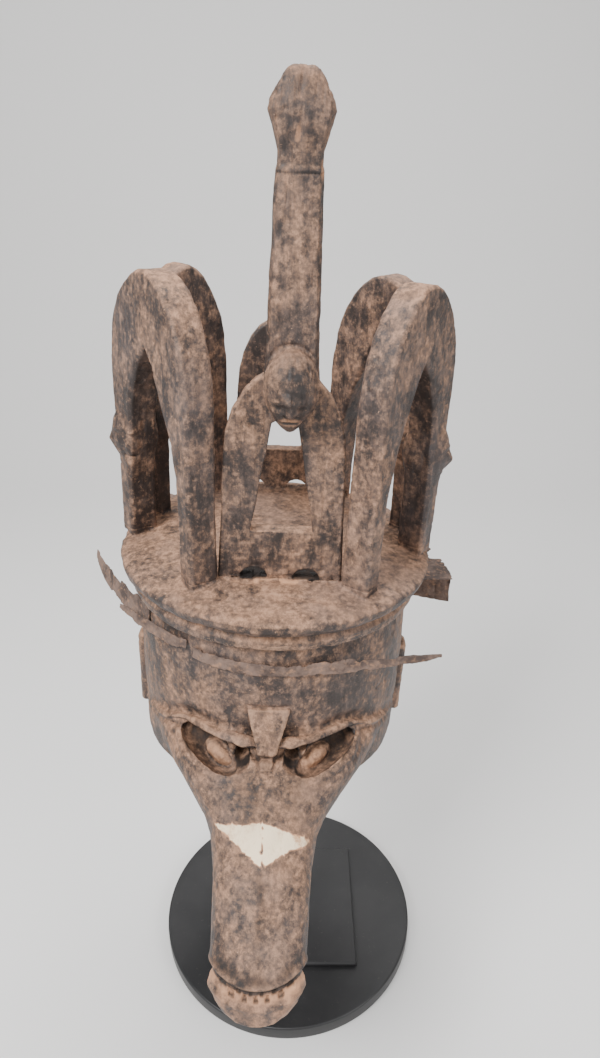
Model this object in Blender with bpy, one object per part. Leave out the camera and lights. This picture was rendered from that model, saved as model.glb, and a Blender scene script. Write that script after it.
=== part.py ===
# Helmet mask of carved wood on its stand: a hollow helmet with a long muzzle, a round
# platform on its crown, six carved arches, a post that ends in a snake's head, and
# torn strips of sheet iron round the neck. Metres, +Z up, the face looks along -Y.

import math

import bmesh
import bpy
from mathutils import Matrix, Vector

# Stand
BASE_RADIUS = 0.150
BASE_THICKNESS = 0.018
BASE_EDGE = 0.003
BLOCK_SIDE = 0.162
BLOCK_THICKNESS = 0.007
BLOCK_EDGE = 0.002
ROD_RADIUS = 0.011
PAD_RADIUS = 0.034
PAD_THICKNESS = 0.016
SEAT_GAP = 0.0003

# How the mask sits on the stand: it leans a little to one side
RIM_HEIGHT = 0.535
LEAN = math.radians(2.6)
LEAN_SHIFT = -0.008

# Platform on the crown. Heights in the mask are above its rim's middle.
PLATFORM_RADIUS = 0.144
PLATFORM_TOP = 0.012
PLATFORM_FALL = 0.005
PLATFORM_UNDER = 0.020
PLATFORM_BAND = 0.008

# Helmet
HELMET_RADIUS = 0.127
HELMET_DEPTH = 0.194
HELMET_WALL = 0.021
CROWN_THICKNESS = 0.040
NECK_PINCH = 0.004

# Face and muzzle
MUZZLE_SLOPE = math.radians(42)
MUZZLE_LENGTH = 0.199
MUZZLE_HALF_WIDTH = 0.0422
JAW_TAPER = math.radians(5)
CHIN_DROOP = 0.016
BROW_THICKNESS = 0.0085
NOSE_WIDTH = 0.034
NOSE_LENGTH = 0.039
NOSE_STAND_OUT = 0.003
EYE_LENGTH = 0.058
EYE_WIDTH = 0.021
PEEP_RADIUS = 0.0065
LIP_STEP = 0.0035
LIP_BULGE = 0.021
EAR_HEIGHT = 0.084
EAR_WIDTH = 0.020
EAR_STAND_OUT = 0.008

# Carved work on the platform, set a little to one side
FRONT_OFFSET = 0.005
BACK_OFFSET = -0.004
PANEL_WIDTH = 0.104
BACK_PANEL_WIDTH = 0.090
PANEL_HEIGHT = 0.178
PANEL_THICKNESS = 0.014
PANEL_FRONT = 0.081
PANEL_BACK = 0.108
CROSSBAR_HEIGHT = 0.045
WINDOW_WIDTH = 0.051
NOTCH_RADIUS = 0.0115
NOTCH_SPACING = 0.044

# Side arches
FRONT_ARCH_HEIGHT = 0.238
BACK_ARCH_HEIGHT = 0.228
ARCH_WIDTH = 0.026
ARCH_LEG = 0.021
FRONT_TURN = math.radians(57)
BACK_TURN = math.radians(47)
ARCH_GAP = 0.0025
FRONT_ARCH_TUCK = 0.0042
OUTER_FOOT_INSET = 0.015

# Carved heads
HEAD_HEIGHT = 0.066
HEAD_WIDTH = 0.031
HEAD_DEPTH = 0.042
FRONT_HEAD_HEIGHT = 0.062
FRONT_HEAD_WIDTH = 0.043

# Post with the snake's head
POST_WIDTH = 0.041
POST_TOP_WIDTH = 0.033
POST_DEPTH = 0.024
POST_HEIGHT = 0.369
SNAKE_HEAD_LENGTH = 0.056
SNAKE_HEAD_WIDTH = 0.045
SNOUT_WIDTH = 0.018

# Sheet iron round the neck
SHEET_THICKNESS = 0.0012
SHEET_GAP = 0.0010

SINK = 0.006
ROUND_SIDES = 56


def material(name, colour, roughness, metallic=0.0):
    made = bpy.data.materials.new(name)
    made.use_nodes = True
    shader = made.node_tree.nodes["Principled BSDF"]
    shader.inputs["Base Color"].default_value = (*colour, 1)
    shader.inputs["Roughness"].default_value = roughness
    shader.inputs["Metallic"].default_value = metallic
    return made


def put(name, bm, parent=None, finish=None, tool=False):
    """A bmesh as a named object. A tool only joins or cuts another object."""
    bmesh.ops.recalc_face_normals(bm, faces=bm.faces)
    mesh = bpy.data.meshes.new(name)
    bm.to_mesh(mesh)
    bm.free()
    made = bpy.data.objects.new(name, mesh)
    bpy.context.scene.collection.objects.link(made)
    if parent:
        made.parent = parent
    if finish:
        mesh.materials.append(finish)
    if tool:
        made.hide_render = True
        made.display_type = "WIRE"
    else:
        mesh.shade_smooth()
        mesh.set_sharp_from_angle(angle=math.radians(35))
    return made


def boolean(target, tool, operation):
    cut = target.modifiers.new(f"{operation}_{tool.name}", "BOOLEAN")
    cut.operation = operation
    cut.solver = "EXACT"
    cut.object = tool


def turned(profile, sides=ROUND_SIDES):
    """A closed solid turned about Z from (radius, height) points that start and end on the axis."""
    bm = bmesh.new()
    line = [bm.verts.new((r, 0, z)) for r, z in profile]
    edges = [bm.edges.new(pair) for pair in zip(line, line[1:])]
    bmesh.ops.spin(
        bm,
        geom=line + edges,
        cent=(0, 0, 0),
        axis=(0, 0, 1),
        angle=math.tau,
        steps=sides,
        use_merge=True,
    )
    bmesh.ops.remove_doubles(bm, verts=bm.verts, dist=1e-6)
    return bm


def lofted(rings):
    """A closed solid through rings of points, each ring with as many points as the last."""
    bm = bmesh.new()
    loops = [[bm.verts.new(p) for p in ring] for ring in rings]
    for near, far in zip(loops, loops[1:]):
        for i in range(len(near)):
            bm.faces.new((near[i - 1], near[i], far[i], far[i - 1]))
    bm.faces.new(loops[0])
    bm.faces.new(loops[-1])
    bmesh.ops.triangulate(bm, faces=bm.faces)
    return bm


def plate(outline, thickness, bevel, segments=1):
    """A flat outline in X and Z, given a thickness along Y about y = 0, with its edges eased."""
    bm = bmesh.new()
    face = bm.faces.new([bm.verts.new((x, -thickness / 2, z)) for x, z in outline])
    grown = bmesh.ops.extrude_face_region(bm, geom=[face])
    far = [v for v in grown["geom"] if isinstance(v, bmesh.types.BMVert)]
    bmesh.ops.translate(bm, verts=far, vec=(0, thickness, 0))
    rims = [e for e in bm.edges if abs(e.verts[0].co.y - e.verts[1].co.y) < 1e-7]
    bmesh.ops.bevel(
        bm, geom=rims, offset=bevel, segments=segments, affect="EDGES", profile=0.5
    )
    return bm


def box(size, centre):
    bm = bmesh.new()
    bmesh.ops.create_cube(bm, size=1)
    bmesh.ops.scale(bm, vec=size, verts=bm.verts)
    bmesh.ops.translate(bm, vec=centre, verts=bm.verts)
    return bm


def ball(radii, centre, rings=10, sides=16):
    bm = bmesh.new()
    bmesh.ops.create_uvsphere(bm, u_segments=sides, v_segments=rings, radius=1)
    bmesh.ops.scale(bm, vec=radii, verts=bm.verts)
    bmesh.ops.translate(bm, vec=centre, verts=bm.verts)
    return bm


def rod(radius, low, high, sides=24):
    """A round bar from one point to another."""
    bm = bmesh.new()
    low, high = Vector(low), Vector(high)
    along = high - low
    bmesh.ops.create_cone(
        bm,
        cap_ends=True,
        segments=sides,
        radius1=radius,
        radius2=radius,
        depth=along.length,
    )
    turn = Vector((0, 0, 1)).rotation_difference(along).to_matrix().to_4x4()
    bmesh.ops.transform(
        bm, matrix=Matrix.Translation((low + high) / 2) @ turn, verts=bm.verts
    )
    return bm


def smooth_line(points, per_span=4, closed=False):
    """Points along a smooth curve through the given ones."""
    count = len(points)
    spans = count if closed else count - 1
    out = []
    for i in range(spans):
        pick = [i - 1, i, i + 1, i + 2]
        if closed:
            a, b, c, d = (Vector(points[k % count]) for k in pick)
        else:
            a, b, c, d = (Vector(points[min(max(k, 0), count - 1)]) for k in pick)
        for j in range(per_span):
            t = j / per_span
            out.append(
                0.5
                * (
                    2 * b
                    + (c - a) * t
                    + (2 * a - 5 * b + 4 * c - d) * t * t
                    + (3 * b - a - 3 * c + d) * t**3
                )
            )
    if not closed:
        out.append(Vector(points[-1]))
    return out


# The stand: a round foot, a square block on it, and a rod that ends in a pad
def stand(lean, finish):
    edge = BASE_EDGE
    foot = turned(
        [
            (0, 0),
            (BASE_RADIUS - edge, 0),
            (BASE_RADIUS, edge),
            (BASE_RADIUS, BASE_THICKNESS - edge),
            (BASE_RADIUS - edge, BASE_THICKNESS),
            (0, BASE_THICKNESS),
        ],
        sides=ROUND_SIDES,
    )
    put("stand_foot", foot, finish=finish)

    block_low = BASE_THICKNESS + SEAT_GAP
    bm = box(
        (BLOCK_SIDE, BLOCK_SIDE, BLOCK_THICKNESS), (0, 0, block_low + BLOCK_THICKNESS / 2)
    )
    bmesh.ops.bevel(bm, geom=bm.edges, offset=BLOCK_EDGE, segments=1, affect="EDGES")
    block = put("stand_block", bm, finish=finish)
    socket = put(
        "socket",
        rod(ROD_RADIUS + SEAT_GAP, (0, 0, 0), (0, 0, block_low + 2 * BLOCK_THICKNESS)),
        tool=True,
    )
    boolean(block, socket, "DIFFERENCE")

    ceiling = PLATFORM_TOP - CROWN_THICKNESS
    pad_top = ceiling - SEAT_GAP
    rod_top = RIM_HEIGHT + pad_top - PAD_THICKNESS / 2
    upright = put(
        "stand_rod", rod(ROD_RADIUS, (0, 0, block_low), (0, 0, rod_top)), finish=finish
    )
    pad = turned(
        [
            (0, pad_top - PAD_THICKNESS),
            (PAD_RADIUS * 0.75, pad_top - PAD_THICKNESS),
            (PAD_RADIUS, pad_top - PAD_THICKNESS * 0.6),
            (PAD_RADIUS, pad_top),
            (0, pad_top),
        ],
        sides=24,
    )
    pad = put("pad", pad, parent=lean, tool=True)
    pad.location.x = -LEAN_SHIFT
    boolean(upright, pad, "UNION")


# The helmet's outside: nearly upright walls, drawn in under the platform
def helmet_radius(height):
    drawn_in = max(0.0, 1 - abs(height + PLATFORM_UNDER) / (HELMET_DEPTH * 0.18))
    flare = HELMET_RADIUS * 0.008 * math.sin(math.pi * min(1.0, max(0.0, -height / HELMET_DEPTH)))
    return HELMET_RADIUS - NECK_PINCH * drawn_in + flare


def helmet():
    rows = 6
    top, low = 0.0, -HELMET_DEPTH
    heights = [low + (top - low) * i / rows for i in range(rows + 1)]
    wall = [(helmet_radius(z), z) for z in heights]
    edge = 0.003
    profile = [(0, low), (wall[0][0] - edge, low), (wall[0][0], low + edge)]
    return turned([*profile, *wall[1:], (0, top)])


def platform():
    r, top, under = PLATFORM_RADIUS, PLATFORM_TOP, PLATFORM_UNDER
    shoulder = 0.020
    side = [
        (math.sin(a) * shoulder, math.cos(a))
        for a in (math.radians(20 + 23 * i) for i in range(7))
    ]
    profile = [(0, top), (r * 0.70, top)]
    rim_top = top - PLATFORM_FALL
    for out, up in side:
        height = up * rim_top if up > 0 else up * under * 0.8
        profile.append((r - shoulder + out, height))
    band = PLATFORM_BAND
    profile += [(r * 0.94, -under), (r * 0.93, -under - band), (0, -under - band)]
    bm = turned(profile)
    half_step = Matrix.Rotation(math.pi / ROUND_SIDES, 4, "Z")
    bmesh.ops.transform(bm, matrix=half_step, verts=bm.verts)
    return bm


def hollow():
    """What the wearer's head goes into, cut on down past the muzzle's underside."""
    r = HELMET_RADIUS - HELMET_WALL
    ceiling = PLATFORM_TOP - CROWN_THICKNESS
    low = -HELMET_DEPTH - MUZZLE_LENGTH
    round_off = 0.028
    dome = [
        (
            r - round_off * (1 - math.cos(a)),
            ceiling - round_off * (1 - math.sin(a)),
        )
        for a in (math.radians(90 * i / 4) for i in range(5))
    ]
    return turned([(0, low), (r, low), *dome, (0, ceiling)], sides=48)


# Places on the muzzle: along it from the nose's tip, across it, and above its top line
def on_muzzle(along, across, above):
    c, s = math.cos(MUZZLE_SLOPE), math.sin(MUZZLE_SLOPE)
    nose_y = -HELMET_RADIUS * 1.142
    nose_z = -(NOSE_LENGTH + HELMET_DEPTH * 0.479)
    return Vector(
        (across, nose_y - along * c - above * s, nose_z - along * s + above * c)
    )


def face_ring(top, low, half, squareness, sides=32):
    """A ring across the face between its top and low points, half as wide on each side."""
    top, low = Vector(top), Vector(low)
    middle, up = (top + low) / 2, (top - low) / 2
    ring = []
    for i in range(sides):
        a = math.tau * i / sides
        c, s = math.cos(a), math.sin(a)
        grow = (abs(c) ** squareness + abs(s) ** squareness) ** (-1 / squareness)
        ring.append(middle + Vector((half * c * grow, 0, 0)) + up * s * grow)
    return ring


def chin_droop(share):
    """How far the muzzle's top has fallen at that share of its length."""
    return CHIN_DROOP * max(0.0, (share - 0.76) / 0.24) ** 2


def muzzle_form():
    """Rings from inside the helmet, forward through the cheeks, to the chin."""
    end, r, rim = MUZZLE_LENGTH, HELMET_RADIUS, -HELMET_DEPTH
    nose = on_muzzle(0, 0, 0)
    throat = Vector((0, -r * 0.78, rim - SINK))
    rings = [
        face_ring((0, -r * 0.24, nose.z + 0.020), (0, -r * 0.24, rim + SINK * 2), r * 0.93, 3.4),
        face_ring((0, -r * 0.50, nose.z + 0.020), (0, -r * 0.50, rim + SINK), r * 0.87, 3.2),
        face_ring((0, -r * 0.80, nose.z + 0.014), (0, -r * 0.66, rim - SINK / 2), r * 0.77, 3.0),
    ]
    # share of the muzzle's length, half width and thickness as shares of the full ones, squareness
    stations = [
        (0.000, 1.92, 1.00, 2.9),
        (0.135, 1.48, 1.00, 2.8),
        (0.210, 1.24, 1.00, 2.7),
        (0.280, 1.10, 1.00, 2.6),
        (0.420, 1.00, 1.00, 2.5),
        (0.530, 0.97, 1.00, 2.5),
        (0.740, 0.95, 1.00, 2.5),
        (0.840, 0.91, 0.94, 2.4),
        (0.900, 0.79, 0.82, 2.2),
        (0.950, 0.60, 0.64, 2.1),
        (0.985, 0.37, 0.42, 2.0),
        (1.000, 0.18, 0.22, 2.0),
    ]
    slope = MUZZLE_SLOPE - JAW_TAPER
    jaw = Vector((0, -math.cos(slope), -math.sin(slope)))
    for share, wide, thick, square in stations:
        top = on_muzzle(end * share, 0, -chin_droop(share))
        low = top + (throat + jaw * end * 1.02 * share - top) * thick
        rings.append(face_ring(top, low, MUZZLE_HALF_WIDTH * wide, square))
    return lofted(rings)


def lower_lip_cut():
    """Takes a crescent off the muzzle's top past the upper lip, so that the lower jaw stands out."""
    start, end, w = MUZZLE_LENGTH * 0.77, MUZZLE_LENGTH * 1.15, MUZZLE_HALF_WIDTH
    rings = []
    for i in range(13):
        a = (i - 6) / 5
        across = a * w
        lip = start + LIP_BULGE * (1 - a * a)
        deep = chin_droop(lip / MUZZLE_LENGTH) + LIP_STEP + CHIN_DROOP * 1.2 * a**4
        rings.append(
            [
                on_muzzle(lip, across, -deep),
                on_muzzle(end, across, -deep - CHIN_DROOP * 2.2),
                on_muzzle(end, across, 0.05),
                on_muzzle(lip + 0.004, across, 0.05),
            ]
        )
    return lofted(rings)


def brow_line(side):
    """The brow's path: from over the nose's tip round to the side of the head."""
    r = HELMET_RADIUS
    nose = on_muzzle(0, 0, 0)
    points = [
        (-side * NOSE_WIDTH * 0.18, nose.y + r * 0.024, nose.z + r * 0.040),
        (side * r * 0.236, -r * 1.020, nose.z + r * 0.094),
        (side * r * 0.535, -r * 0.880, nose.z + r * 0.047),
        (side * r * 0.780, -r * 0.640, nose.z - r * 0.047),
        (side * r * 0.953, -r * 0.270, nose.z - r * 0.220),
    ]
    return smooth_line(points, per_span=3)


def bar(path, half_out, half_up):
    """A bar of six sides along a path, thinner at its end."""
    rings = []
    for i, p in enumerate(path):
        ahead = path[min(i + 1, len(path) - 1)] - path[max(i - 1, 0)]
        out = ahead.cross(Vector((0, 0, 1))).normalized()
        up = out.cross(ahead).normalized()
        ease = 1.0 if i < len(path) - 2 else 0.7
        rings.append(
            [
                p + out * math.cos(a) * half_out * ease + up * math.sin(a) * half_up * ease
                for a in (math.tau * k / 6 for k in range(6))
            ]
        )
    return lofted(rings)


def turned_ball(radii, centre, turns, rings=8, sides=12):
    """An oval ball turned about X, Y and Z in that order."""
    bm = ball(radii, (0, 0, 0), rings, sides)
    spun = Matrix.Identity(4)
    for angle, axis in zip(turns, "XYZ"):
        spun = Matrix.Rotation(angle, 4, axis) @ spun
    bmesh.ops.transform(bm, matrix=Matrix.Translation(centre) @ spun, verts=bm.verts)
    return bm


def eye_place(side):
    """The middle of an eye, under the brow, and how far it turns back round the head."""
    r = HELMET_RADIUS
    return Vector((side * r * 0.37, -r, on_muzzle(0, 0, 0).z - r * 0.11)), side * 0.66


def face(mask, lean):
    """Brows, nose, eyes, peep-holes and ears, worked on the head."""
    nose = on_muzzle(0, 0, 0)
    for side, word in ((-1, "left"), (1, "right")):
        middle, back = eye_place(side)
        socket = turned_ball(
            (EYE_LENGTH * 0.61, EYE_WIDTH * 0.80, EYE_WIDTH * 0.62),
            middle + Vector((side * 0.19, -0.07, 0.38)) * EYE_WIDTH,
            (math.radians(-38), 0, back),
        )
        boolean(mask, put(f"socket_{word}", socket, lean, tool=True), "DIFFERENCE")
        r = HELMET_RADIUS
        inner = Vector((side * r * 0.170, nose.y + r * 0.047, nose.z - r * 0.010))
        inside = Vector((side * r * 0.236, -r * 0.6, nose.z - r * 0.047))
        peep = rod(PEEP_RADIUS, inner + (inner - inside) * 0.4, inside, sides=11)
        boolean(mask, put(f"peep_{word}", peep, lean, tool=True), "DIFFERENCE")
    for side, word in ((-1, "left"), (1, "right")):
        middle, back = eye_place(side)
        eyeball = turned_ball(
            (EYE_LENGTH * 0.32, EYE_WIDTH * 0.57, EYE_WIDTH * 0.44),
            middle + Vector((-side * 0.30, 0.29, -0.12)) * EYE_WIDTH,
            (math.radians(-38), 0, back),
        )
        boolean(mask, put(f"eyeball_{word}", eyeball, lean, tool=True), "UNION")
        brow = bar(brow_line(side), BROW_THICKNESS * 0.62, BROW_THICKNESS / 2)
        boolean(mask, put(f"brow_{word}", brow, lean, tool=True), "UNION")
        ear_low = -HELMET_DEPTH + 0.006
        ear = box(
            (2 * EAR_STAND_OUT, EAR_WIDTH, EAR_HEIGHT),
            (side * HELMET_RADIUS, 0, ear_low + EAR_HEIGHT / 2),
        )
        bmesh.ops.bevel(ear, geom=ear.edges, offset=0.003, segments=1, affect="EDGES")
        boolean(mask, put(f"ear_{word}", ear, lean, tool=True), "UNION")
    top_z = nose.z + NOSE_LENGTH
    back_y = -HELMET_RADIUS * 0.9
    rings = []
    for z, half, front in (
        (top_z, NOSE_WIDTH / 2, -HELMET_RADIUS - NOSE_STAND_OUT),
        (nose.z + NOSE_LENGTH * 0.31, NOSE_WIDTH * 0.31, nose.y + NOSE_LENGTH * 0.10),
        (nose.z - NOSE_LENGTH * 0.16, NOSE_WIDTH * 0.11, nose.y - NOSE_LENGTH * 0.17),
    ):
        rings.append([(-half, back_y, z), (-half, front, z), (half, front, z), (half, back_y, z)])
    boolean(mask, put("nose", lofted(rings), lean, tool=True), "UNION")


# A carved head: an egg with a domed brow, hollow eyes, a wedge of nose and a small chin
def carved_head(height, width, depth, rings=11, sides=14):
    """Faces along -Y, its middle at the origin."""
    bm = bmesh.new()
    bmesh.ops.create_uvsphere(bm, u_segments=sides, v_segments=rings, radius=1)
    for v in bm.verts:
        x, y, z = v.co
        taper = 1 - 0.42 * max(0.0, -z) ** 1.5
        front = max(0.0, -y)
        nose = math.exp(-((x / 0.16) ** 2) - ((z + 0.20) / 0.20) ** 2)
        eye = math.exp(-(((abs(x) - 0.36) / 0.20) ** 2) - ((z + 0.02) / 0.13) ** 2)
        mouth = math.exp(-((x / 0.30) ** 2) - ((z + 0.56) / 0.10) ** 2)
        push = front * (0.20 * nose - 0.13 * eye - 0.05 * mouth)
        v.co = Vector(
            (
                x * taper * width / 2,
                (y * (1 - 0.12 * max(0.0, -z)) - push) * depth / 2,
                z * height / 2,
            )
        )
    return bm


def panel(back=False):
    """The front and back arches: a plate with a tall window and two notches at its foot."""
    half, low = (BACK_PANEL_WIDTH if back else PANEL_WIDTH) / 2, PLATFORM_TOP - SINK
    top = PLATFORM_TOP + PANEL_HEIGHT
    spring = PLATFORM_TOP + PANEL_HEIGHT * 0.62
    upper = half * 0.92
    arc = [
        (upper * math.cos(a), spring + (top - spring) * math.sin(a))
        for a in (math.pi * i / 12 for i in range(13))
    ]
    bm = plate([(-half, low), (half, low), *arc], PANEL_THICKNESS, 0.0015)
    x, y = panel_place(back)
    bmesh.ops.translate(bm, vec=(x, y, 0), verts=bm.verts)
    return bm


def panel_place(back):
    return (BACK_OFFSET, PANEL_BACK) if back else (FRONT_OFFSET, -PANEL_FRONT)


def panel_cuts(back):
    """The window and the notches of a panel."""
    middle, y = panel_place(back)
    sill = PLATFORM_TOP + CROSSBAR_HEIGHT
    head = PLATFORM_TOP + PANEL_HEIGHT * 0.80
    half = WINDOW_WIDTH / 2
    window = plate(
        [(-half, sill), (half, sill), (0.0105, head - 0.006), (0, head), (-0.0105, head - 0.006)],
        4 * PANEL_THICKNESS,
        0.0001,
    )
    bmesh.ops.translate(window, vec=(middle, y, 0), verts=window.verts)
    yield window
    for side in (-1, 1):
        arc = [(math.cos(a), math.sin(a)) for a in (math.pi * i / 10 for i in range(11))]
        notch = plate(
            [(NOTCH_RADIUS * c, NOTCH_RADIUS * 0.9 * s) for c, s in arc], 4 * PANEL_THICKNESS, 0.0001
        )
        place = (middle + side * NOTCH_SPACING / 2, y, PLATFORM_TOP + 0.001)
        bmesh.ops.translate(notch, vec=place, verts=notch.verts)
        yield notch


def arch_outline(out, high):
    """A side arch in its own plane: X runs outward from the inner leg's middle to the outer's."""
    leg, foot = ARCH_LEG / 2, PLATFORM_TOP - SINK
    outside = [
        (-leg - 0.004, foot),
        (-leg - 0.001, foot + 0.10),
        (-leg + 0.002, high * 0.72),
        (out * 0.12, high * 0.91),
        (out * 0.46, high),
        (out * 0.82, high * 0.945),
        (out * 1.07, high * 0.80),
        (out * 1.13, high * 0.62),
        (out * 1.11, high * 0.42),
        (out + leg, high * 0.27),
        (out + leg, foot),
    ]
    inside = [
        (out - leg, foot),
        (out - leg * 1.1, high * 0.26),
        (out * 0.84, high * 0.44),
        (out * 0.78, high * 0.60),
        (out * 0.52, high * 0.765),
        (out * 0.30, high * 0.62),
        (leg - 0.001, high * 0.40),
        (leg - 0.004, foot),
    ]
    line = smooth_line([(h, z, 0) for h, z in outside], per_span=3)
    line += smooth_line([(h, z, 0) for h, z in inside], per_span=2)
    return [(p.x, p.y) for p in line]


def arch_feet(side, end):
    """Middles of a side arch's two legs: one clear of the panel, one near the platform's edge."""
    turn, width, middle, y = (
        (BACK_TURN, BACK_PANEL_WIDTH, BACK_OFFSET, PANEL_BACK - ARCH_LEG / 2)
        if end > 0
        else (FRONT_TURN, PANEL_WIDTH, FRONT_OFFSET, PANEL_FRONT + PANEL_THICKNESS / 2)
    )
    c, s = math.cos(turn), math.sin(turn)
    half_extent = (ARCH_LEG * c + ARCH_WIDTH * s) / 2 + ARCH_LEG * 0.2 * c
    x = width / 2 + ARCH_GAP + half_extent
    inner = Vector((middle + side * x, end * y))
    ahead = Vector((side * c, -end * s))
    reach = PLATFORM_RADIUS - OUTER_FOOT_INSET
    b = inner.dot(ahead)
    outer = inner + ahead * (math.sqrt(b * b - inner.length_squared + reach * reach) - b)
    if end < 0:
        inner.x -= side * FRONT_ARCH_TUCK
    return inner, outer


def crown_work(mask, lean):
    """The panels, the side arches with their heads, and the post, joined to the platform."""
    cuts = []
    for word, back in (("front", False), ("back", True)):
        boolean(mask, put(f"panel_{word}", panel(back), lean, tool=True), "UNION")
        cuts += [(f"{word}_{i}", bm) for i, bm in enumerate(panel_cuts(back))]
    for name, bm in cuts:
        boolean(mask, put(f"window_{name}", bm, lean, tool=True), "DIFFERENCE")

    for end, end_word, height in (
        (-1, "front", FRONT_ARCH_HEIGHT),
        (1, "back", BACK_ARCH_HEIGHT),
    ):
        for side, side_word in ((-1, "left"), (1, "right")):
            inner, outer = arch_feet(side, end)
            out = (outer - inner).length
            facing = math.atan2(outer.y - inner.y, outer.x - inner.x)
            place = Matrix.Translation((inner.x, inner.y, 0)) @ Matrix.Rotation(facing, 4, "Z")
            bm = plate(arch_outline(out, PLATFORM_TOP + height), ARCH_WIDTH, 0.0025)
            bmesh.ops.transform(bm, matrix=place, verts=bm.verts)
            name = f"{end_word}_{side_word}"
            boolean(mask, put(f"arch_{name}", bm, lean, tool=True), "UNION")
            head = carved_head(HEAD_HEIGHT, HEAD_WIDTH, HEAD_DEPTH)
            spot = Matrix.Translation((outer.x, outer.y, PLATFORM_TOP + HEAD_HEIGHT * 1.36))
            outward = Matrix.Rotation(math.atan2(outer.y, outer.x) + math.pi / 2, 4, "Z")
            bmesh.ops.transform(head, matrix=spot @ outward, verts=head.verts)
            boolean(mask, put(f"head_{name}", head, lean, tool=True), "UNION")

    boolean(mask, put("post", post(), lean, tool=True), "UNION")
    head = carved_head(FRONT_HEAD_HEIGHT, FRONT_HEAD_WIDTH, FRONT_HEAD_WIDTH)
    middle = PLATFORM_TOP + PANEL_HEIGHT * 0.925
    bmesh.ops.translate(
        head,
        vec=(FRONT_OFFSET + 0.003, -PANEL_FRONT - PANEL_THICKNESS * 1.1, middle),
        verts=head.verts,
    )
    boolean(mask, put("head_front", head, lean, tool=True), "UNION")


def post():
    """A flat bar that narrows upward and ends in a snake's head seen from above."""
    start = PLATFORM_TOP + PANEL_HEIGHT * 0.86
    end = PLATFORM_TOP + POST_HEIGHT
    neck = end - SNAKE_HEAD_LENGTH
    # height, width, depth
    rows = [
        (start, POST_WIDTH, POST_DEPTH),
        (start + (neck - start) * 0.5, (POST_WIDTH + POST_TOP_WIDTH) / 2, POST_DEPTH * 0.95),
        (neck - 0.003, POST_TOP_WIDTH, POST_DEPTH * 0.9),
        (neck, POST_TOP_WIDTH * 0.94, POST_DEPTH * 0.82),
        (neck + 0.008, POST_TOP_WIDTH * 0.94, POST_DEPTH * 0.85),
        (neck + SNAKE_HEAD_LENGTH * 0.38, SNAKE_HEAD_WIDTH * 0.86, POST_DEPTH * 1.0),
        (neck + SNAKE_HEAD_LENGTH * 0.55, SNAKE_HEAD_WIDTH, POST_DEPTH * 1.0),
        (neck + SNAKE_HEAD_LENGTH * 0.66, SNAKE_HEAD_WIDTH * 0.94, POST_DEPTH * 0.95),
        (neck + SNAKE_HEAD_LENGTH * 0.88, SNAKE_HEAD_WIDTH * 0.62, POST_DEPTH * 0.72),
        (end - 0.002, SNOUT_WIDTH * 1.15, POST_DEPTH * 0.5),
        (end, SNOUT_WIDTH * 0.8, POST_DEPTH * 0.3),
    ]
    rings = []
    for z, width, depth in rows:
        ring = []
        for i in range(12):
            a = math.tau * (i + 0.5) / 12
            c, s = math.cos(a), math.sin(a)
            grow = (abs(c) ** 4 + abs(s) ** 4) ** -0.25
            ring.append((width / 2 * c * grow, depth / 2 * s * grow, z))
        rings.append(ring)
    bm = lofted(rings)
    bmesh.ops.translate(bm, vec=(FRONT_OFFSET + 0.003, -PANEL_FRONT, 0), verts=bm.verts)
    return bm


# Sheet iron: each strip runs between an upper and a lower line of points
def sheet(name, upper, lower, lean, finish):
    bm = bmesh.new()
    rows = [[bm.verts.new(p) for p in smooth_line(line, per_span=2)] for line in (upper, lower)]
    for i in range(len(rows[0]) - 1):
        bm.faces.new((rows[0][i], rows[0][i + 1], rows[1][i + 1], rows[1][i]))
    bmesh.ops.recalc_face_normals(bm, faces=bm.faces)
    bmesh.ops.solidify(bm, geom=bm.faces, thickness=SHEET_THICKNESS)
    return put(name, bm, lean, finish)


def round_neck(degrees, height_share, off_share=0.0):
    """A point beside the helmet's wall: degrees round from the right side, its height, its reach."""
    height = height_share * HELMET_DEPTH
    off = off_share * HELMET_RADIUS
    r = helmet_radius(height) + SHEET_GAP + SHEET_THICKNESS + off
    a = math.radians(degrees)
    return Vector((r * math.cos(a), r * math.sin(a), height))


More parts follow.
